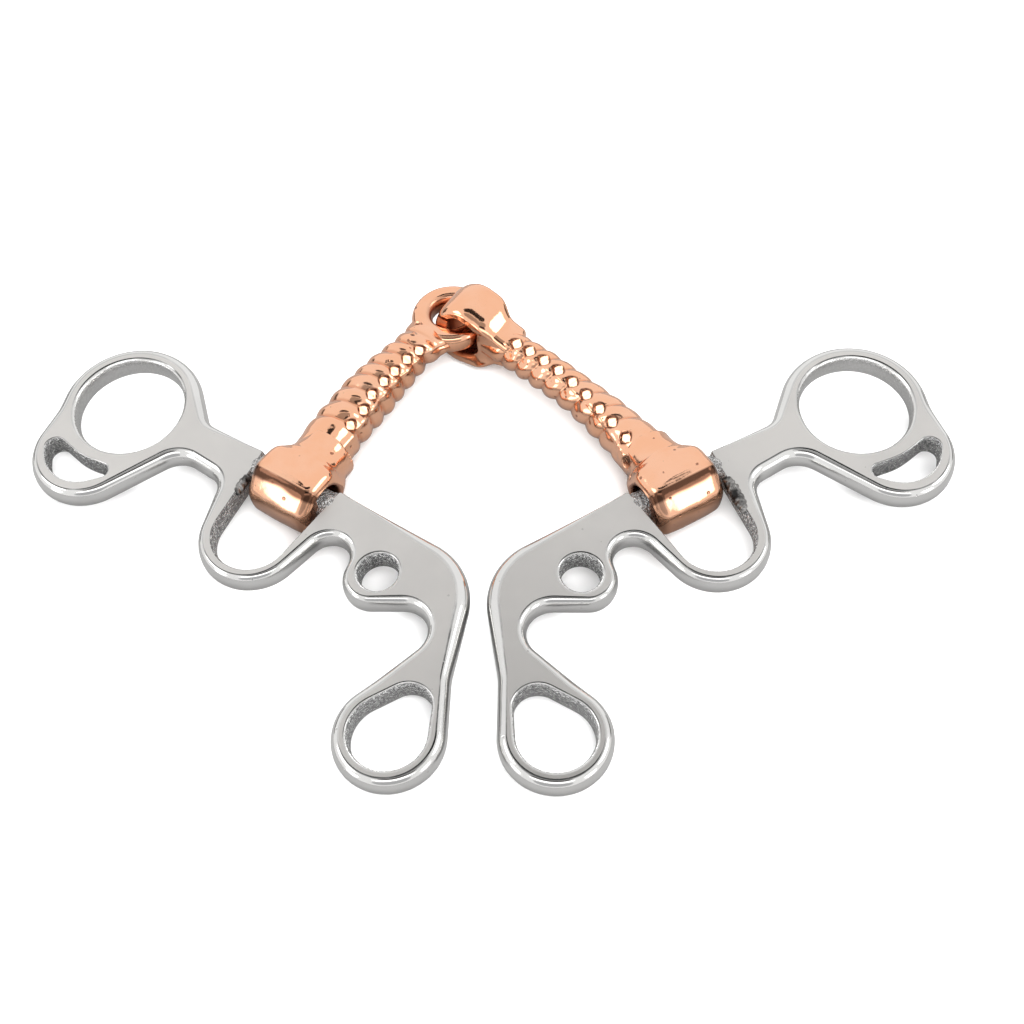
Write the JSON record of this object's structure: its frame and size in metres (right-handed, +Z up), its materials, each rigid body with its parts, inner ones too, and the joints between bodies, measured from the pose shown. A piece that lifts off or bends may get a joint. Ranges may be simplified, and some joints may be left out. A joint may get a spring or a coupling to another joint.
{
  "type": "curb bit",
  "caption": "Loose-cheek curb bit: flat shanked steel cheeks with purchase and rein rings, turning on the butts of a jointed, ribbed copper mouthpiece.",
  "frame": {"origin": "on the floor under the middle of the whole bit's box", "axes": "+X to the right across both cheeks, +Y away from the rein rings towards the mouthpiece's centre joint, +Z up"},
  "size_m": [0.2024, 0.1294, 0.0156],
  "materials": {
    "cheek_steel": "satin faces, polished rounded rims",
    "weld_steel": "rough as welded",
    "copper": null
  },
  "bodies": {
    "right_cannon": {"right_cannon": "copper"},
    "left_cannon": {"left_cannon": "copper"},
    "left_cheek": {"left_cheek": "cheek_steel", "left_weld_bead": "weld_steel"},
    "right_cheek": {"right_cheek": "cheek_steel", "right_weld_bead": "weld_steel"}
  },
  "joints": [
    {"name": "centre_fold", "type": "hinge", "parent": "right_cannon", "child": "left_cannon", "pos_m": [-0.01006, 0.05573, 0.0078], "axis": [0, 0, -1], "range_deg": [0, 190]},
    {"name": "left_cheek_swivel", "type": "hinge", "parent": "left_cannon", "child": "left_cheek", "pos_m": [-0.0431, 0.00738, 0.0078], "axis": [-0.8499, 0.527, 0], "range_deg": [-33, 45]},
    {"name": "right_cheek_swivel", "type": "hinge", "parent": "right_cannon", "child": "right_cheek", "pos_m": [0.0431, 0.00738, 0.0078], "axis": [-0.8499, -0.527, 0], "range_deg": [-33, 45]}
  ]
}
